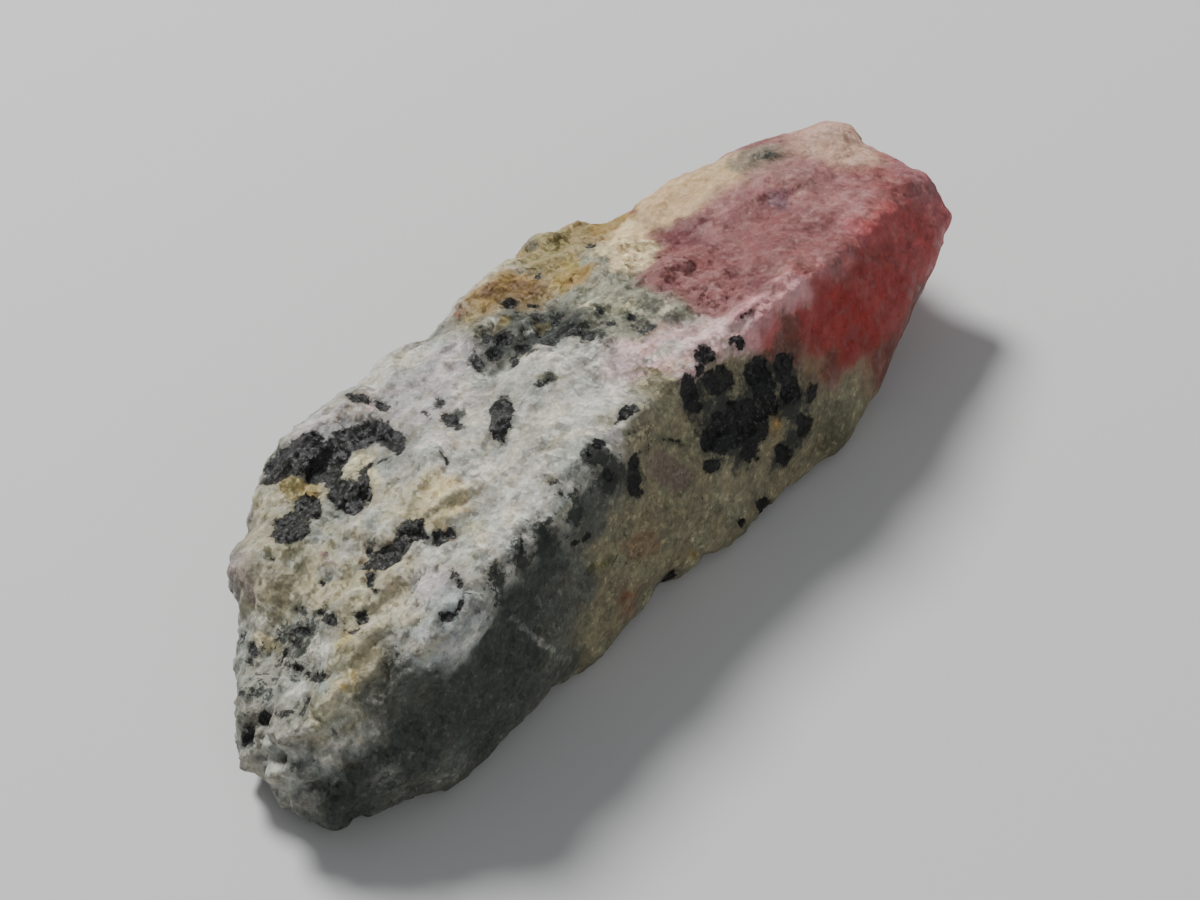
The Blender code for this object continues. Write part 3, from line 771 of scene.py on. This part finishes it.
class Nodes:
    """Short ways to add shader nodes to a material. Noise sizes are millimetres."""

    def __init__(self, material):
        material.use_nodes = True
        self.tree = material.node_tree
        self.shader = self.tree.nodes["Principled BSDF"]

    def link(self, source, socket):
        if isinstance(source, bpy.types.NodeSocket):
            self.tree.links.new(source, socket)
        else:
            socket.default_value = source

    def add(self, kind, inputs=None, **settings):
        node = self.tree.nodes.new(kind)
        for name, value in settings.items():
            setattr(node, name, value)
        for name, value in (inputs or {}).items():
            self.link(value, node.inputs[name])
        return node

    def math(self, operation, first, second=0.0, third=0.0):
        node = self.add("ShaderNodeMath", {0: first, 1: second, 2: third}, operation=operation)
        return node.outputs[0]

    def times(self, first, second):
        return self.math("MULTIPLY", first, second)

    def vector(self, operation, inputs):
        node = self.add("ShaderNodeVectorMath", inputs, operation=operation)
        return node.outputs["Value" if operation == "DOT_PRODUCT" else "Vector"]

    def attribute(self, name, output="Fac"):
        return self.add("ShaderNodeAttribute", attribute_name=name).outputs[output]

    def noise(self, where, size, detail, roughness=0.6, output="Fac"):
        node = self.add("ShaderNodeTexNoise", {"Vector": where, "Scale": 1.0 / size,
                                               "Detail": detail, "Roughness": roughness})
        return node.outputs[output]

    def ramp(self, value, low, high, start=0.0, end=1.0):
        node = self.add("ShaderNodeMapRange", {"Value": value, "From Min": low, "From Max": high,
                                               "To Min": start, "To Max": end})
        return node.outputs["Result"]

    def mix(self, share, first, second, blend="MIX"):
        node = self.add("ShaderNodeMix", data_type="RGBA", blend_type=blend)
        self.link(share, node.inputs[0])
        self.link(first, node.inputs[6])
        self.link(second, node.inputs[7])
        return node.outputs[2]

    def tinted(self, colour, tint):
        return self.mix(1.0, colour, tint, "MULTIPLY")


def grey(level):
    return (level, level, level, 1.0)


def cleavage(nodes, where, size):
    """Small crystal faces: each one's brightness and the height of its tilted plane."""
    cells = nodes.add("ShaderNodeTexVoronoi", {"Vector": where, "Scale": 1.0 / size}, feature="F1")
    offset = nodes.vector("SUBTRACT", {0: where, 1: cells.outputs["Position"]})
    tilt = nodes.vector("SUBTRACT", {0: cells.outputs["Color"], 1: (0.5, 0.5, 0.5)})
    height = nodes.vector("DOT_PRODUCT", {0: offset, 1: tilt})
    level = nodes.add("ShaderNodeSeparateColor", {0: cells.outputs["Color"]}).outputs[0]
    return level, height


def shade(nodes, colour, value, low, high, dark, light):
    """The colour times a grey that runs from dark to light as the value runs from low to high."""
    tone = nodes.mix(nodes.ramp(value, low, high), grey(dark), grey(light))
    return nodes.tinted(colour, tone)


def ragged_share(nodes, depth, where, size, reach, softness):
    """1 inside a mark and 0 outside it, with a ragged edge."""
    edge = nodes.math("MULTIPLY_ADD", nodes.noise(where, size, 4.0, 0.7), 2.0 * reach, -reach)
    return nodes.ramp(nodes.math("ADD", depth, edge), -softness, 2.0 * softness)


def albite_colour(nodes, colour, where, bent, share):
    """Clear grey windows, sugary white flakes and cream stains, as strong as the share."""
    window = nodes.ramp(nodes.noise(bent, 1.5, 4.0, 0.62), 0.50, 0.57)
    window = nodes.times(window, nodes.times(share, 0.75))
    colour = nodes.mix(window, colour, nodes.tinted(colour, CLEAR_TINT))
    along = nodes.vector("MULTIPLY", {0: bent, 1: (0.35, 1.0, 1.0)})
    stain = nodes.ramp(nodes.noise(along, 1.1, 5.0, 0.66), 0.50, 0.60)
    stain = nodes.times(stain, nodes.times(share, 0.7))
    colour = nodes.mix(stain, colour, nodes.tinted(colour, STAIN_TINT))
    flake = nodes.ramp(nodes.noise(where, 0.7, 4.0, 0.7), 0.56, 0.60)
    flake = nodes.times(flake, nodes.times(share, 0.40))
    return nodes.mix(flake, colour, FLAKE_WHITE)

def tugtupite_colour(nodes, colour, where, share):
    """Pale cloudy veils, partly painted upright streaks of sheen, and deeper threads in the pink, as
    strong as the share.
    """
    # Upright streaks toward pale pink: the pink's own clouds, and painted streaks of highlight on the
    # crimson face.
    upright = nodes.vector("MULTIPLY", {0: where, 1: (1.0, 1.0, 0.35)})
    veil_and_sheen = nodes.ramp(nodes.noise(upright, 0.7, 5.0, 0.7), 0.46, 0.72)
    veil_and_sheen = nodes.times(veil_and_sheen, nodes.times(share, 0.55))
    colour = nodes.mix(veil_and_sheen, colour, nodes.mix(0.45, colour, VEIL_AND_SHEEN_PINK))
    thread = nodes.ramp(nodes.noise(where, 1.3, 5.0, 0.65), 0.50, 0.64)
    thread = nodes.times(thread, nodes.times(share, 0.45))
    return nodes.mix(thread, colour, nodes.tinted(colour, THREAD_TINT))


def rock_colour(nodes, where, bent, level, small_level, fine):
    """The rock without its dark minerals: zones and patches, then facets, clouds and flecks."""
    wax = nodes.attribute("wax")
    patch_share = ragged_share(nodes, nodes.attribute("patch"), where, 0.4, 0.26, 0.06)
    colour = nodes.mix(nodes.times(patch_share, 0.8), nodes.attribute("tint", "Color"),
                       nodes.attribute("patch_tint", "Color"))
    albite = nodes.times(nodes.attribute("albite"), nodes.ramp(patch_share, 0.0, 1.0, 1.0, 0.4))
    colour = albite_colour(nodes, colour, where, bent, albite)
    veined = nodes.times(wax, nodes.ramp(nodes.attribute("crimson"), 0.0, 1.0, 0.8, 0.3))
    colour = tugtupite_colour(nodes, colour, where, veined)

    even = colour
    colour = shade(nodes, colour, level, 0.0, 1.0, 0.84, 1.14)
    colour = shade(nodes, colour, small_level, 0.0, 1.0, 0.84, 1.14)
    colour = shade(nodes, colour, nodes.noise(bent, 0.9, 4.0), 0.3, 0.7, 0.80, 1.18)
    colour = shade(nodes, colour, fine, 0.3, 0.7, 0.74, 1.24)
    colour = nodes.mix(nodes.times(wax, 0.55), colour, even)

    plain = nodes.math("SUBTRACT", 1.0, nodes.math("MAXIMUM", wax, albite))
    fleck = nodes.times(nodes.ramp(nodes.noise(where, 0.36, 5.0, 0.75), 0.57, 0.62), plain)
    colour = nodes.mix(fleck, colour, nodes.tinted(colour, FLECK_TINT))
    hue = nodes.ramp(nodes.noise(where, 1.1, 3.0), 0.35, 0.65)
    return nodes.tinted(colour, nodes.mix(hue, COOL_TINT, WARM_TINT))


def with_dark_minerals(nodes, colour, where, bent, grain, dark_share):
    """The rock's colour with soft smoke, fine specks, and fibrous grains with a halo and grey specks of
    dust and painted sheen.
    """
    smoke = nodes.ramp(nodes.attribute("smoke"), 0.0, 1.0, -0.36, 0.24)
    murk = nodes.math("ADD", nodes.noise(bent, 0.55, 6.0, 0.75), smoke)
    colour = nodes.mix(nodes.times(nodes.ramp(murk, 0.42, 0.58), 0.95), colour, SMOKE_DARK)

    pepper = nodes.ramp(nodes.attribute("pepper"), 0.0, 1.0, -0.24, 0.10)
    speck = nodes.math("ADD", nodes.noise(where, 0.42, 5.0, 0.75), pepper)
    colour = nodes.mix(nodes.times(nodes.ramp(speck, 0.53, 0.58), 0.85), colour, SPECK_DARK)

    blur = nodes.math("MULTIPLY_ADD", nodes.noise(where, 0.5, 4.0, 0.7), 0.8, -0.4)
    halo = nodes.ramp(nodes.math("ADD", grain, blur), -0.28, 0.10)
    colour = nodes.mix(nodes.times(halo, 0.45), colour, HALO_DARK)

    along = nodes.vector("MULTIPLY", {0: where, 1: (0.5, 1.0, 1.6)})
    fibre = nodes.ramp(nodes.noise(along, 0.16, 4.0, 0.7), 0.48, 0.70)
    dark = nodes.mix(fibre, GRAIN_BLACK, GRAIN_FIBRE)
    # Grey specks on the dark grains, as strong as the faces turn up: partly dust, partly painted sheen
    # where the light falls on them.
    dust_and_sheen = nodes.ramp(nodes.noise(where, 0.2, 5.0, 0.78), 0.55, 0.64)
    dust_and_sheen = nodes.times(dust_and_sheen, nodes.times(nodes.attribute("dust_and_sheen"), 0.55))
    dark = nodes.mix(dust_and_sheen, dark, SHEEN_AND_DUST_GREY)
    return nodes.mix(nodes.times(dark_share, 0.97), colour, dark)


def surface_roughness(nodes, level, fine, dark_share):
    """Each crystal face of the rock has its own roughness, and the dark grains have one."""
    rough = nodes.math("ADD", nodes.ramp(level, 0.0, 1.0, 0.36, 0.80),
                       nodes.ramp(fine, 0.3, 0.7, -0.06, 0.08))
    rough = nodes.times(rough, nodes.math("SUBTRACT", 1.0, dark_share))
    return nodes.math("MULTIPLY_ADD", dark_share, GRAIN_ROUGHNESS, rough)


def surface_bump(nodes, facet, small_facet, fine, dark_share):
    """The crystal faces and the fine grain as bump, softer where the break is calm."""
    crisp = nodes.ramp(nodes.attribute("calm"), 0.0, 0.7, 1.0, 0.42)
    height = nodes.times(facet, nodes.times(crisp, 0.7))
    height = nodes.math("MULTIPLY_ADD", small_facet, nodes.times(crisp, 0.8), height)
    height = nodes.math("MULTIPLY_ADD", fine, 0.05, height)
    height = nodes.math("MULTIPLY_ADD", dark_share, -0.05, height)
    bump = nodes.add("ShaderNodeBump", {"Height": height, "Distance": MM, "Strength": 1.0})
    return bump.outputs["Normal"]


def stone_material():
    """The stone's one material, which reads the values kept at the points of its mesh."""
    material = bpy.data.materials.new("tugtupite_in_albite")
    nodes = Nodes(material)
    place = nodes.add("ShaderNodeTexCoord").outputs["Object"]
    where = nodes.vector("SCALE", {0: place, "Scale": 1.0 / MM})
    wander = nodes.noise(where, 0.625, 3.0, 0.5, "Color")
    bent = nodes.vector("MULTIPLY_ADD", {0: wander, 1: (0.35, 0.35, 0.35), 2: where})

    level, facet = cleavage(nodes, where, FACET_SIZE)
    small_level, small_facet = cleavage(nodes, where, SMALL_FACET_SIZE)
    fine = nodes.noise(where, FINE_SIZE, 5.0, 0.72)
    grain = nodes.attribute("grain")
    dark_share = ragged_share(nodes, grain, where, 0.26, 0.22, 0.02)

    colour = rock_colour(nodes, where, bent, level, small_level, fine)
    colour = with_dark_minerals(nodes, colour, where, bent, grain, dark_share)
    rough = surface_roughness(nodes, level, fine, dark_share)
    normal = surface_bump(nodes, facet, small_facet, fine, dark_share)
    for name, value in (
            ("Base Color", colour), ("Roughness", rough), ("Normal", normal),
            ("Specular IOR Level", GLOSS), ("Subsurface Weight", GLOW_SHARE),
            ("Subsurface Radius", GLOW_REACH), ("Subsurface Scale", GLOW_DEPTH)):
        nodes.link(value, nodes.shader.inputs[name])
    return material


def dress_stone(camera):
    """Makes the visible stone: its shape, the values at its points, and its material."""
    rock = fine_surface(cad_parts[STONE_NODE])
    rock.name = "dressed_stone"
    places, normals = places_and_normals(rock.data)
    colours = mineral_colours(rock, camera, places)
    patch, patch_tint = patch_colours(rock, camera, places)
    grains = grain_depths(rock, camera, places, normals)
    pepper = pepper_density(rock, camera, places)
    smoke = nearness(places, photo_spots(rock, camera, SMOKE_SITES) + HIDDEN_SMOKE)
    calm = calmness(rock, camera, places, normals)
    forms = form_height(rock, camera, places)
    redness = colours[:, 0] / colours[:, 1:].mean(1)
    wax = smoothstep(*WAX_RANGE, redness)
    add_relief(rock, calm, grains, forms)
    add_colour(rock.data, "tint", colours)
    add_colour(rock.data, "patch_tint", patch_tint)
    # The grey specks' share grows as the normal turns up, so they paint sheen on the tops of the dark
    # grains as well as dust.
    for name, values in (
            ("patch", patch), ("grain", grains), ("pepper", pepper), ("smoke", smoke),
            ("calm", calm), ("dust_and_sheen", smoothstep(*SHEEN_AND_DUST_RANGE, normals[:, 2])), ("wax", wax),
            ("crimson", smoothstep(*CRIMSON_RANGE, redness)),
            ("albite", smoothstep(*ALBITE_RANGE, colours.min(1)) * (1.0 - wax))):
        add_float(rock.data, name, values)
    rock.data.shade_smooth()
    rock.data.materials.clear()
    rock.data.materials.append(stone_material())
    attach(rock, "root")
    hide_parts(STONE_NODE)


def make_floor():
    bpy.ops.mesh.primitive_plane_add(size=FLOOR_WIDTH, location=(0.0, 0.0, -FLOOR_DROP))
    floor = bpy.context.object
    floor.name = "floor"
    material = bpy.data.materials.new("pale_floor")
    material.use_nodes = True
    shader = material.node_tree.nodes["Principled BSDF"]
    shader.inputs["Base Color"].default_value = FLOOR_COLOUR
    shader.inputs["Roughness"].default_value = FLOOR_ROUGHNESS
    floor.data.materials.append(material)


def add_area_light(name, place, diameter, power):
    """Adds a round lamp that faces the stone."""
    data = bpy.data.lights.new(name, "AREA")
    data.shape = "DISK"
    data.size = diameter
    data.energy = power
    light = bpy.data.objects.new(name, data)
    light.location = place
    light.rotation_mode = "QUATERNION"
    light.rotation_quaternion = Vector(place).to_track_quat("Z", "Y")
    bpy.context.scene.collection.objects.link(light)


def light_scene():
    for light in LIGHTS:
        add_area_light(*light)
    world = bpy.data.worlds.new("soft_room")
    world.use_nodes = True
    background = world.node_tree.nodes["Background"]
    background.inputs["Color"].default_value = ROOM_COLOUR
    background.inputs["Strength"].default_value = ROOM_STRENGTH
    bpy.context.scene.world = world


photo_camera = PhotoCamera()
photo_camera.make_object()
light_scene()
make_floor()
dress_stone(photo_camera)
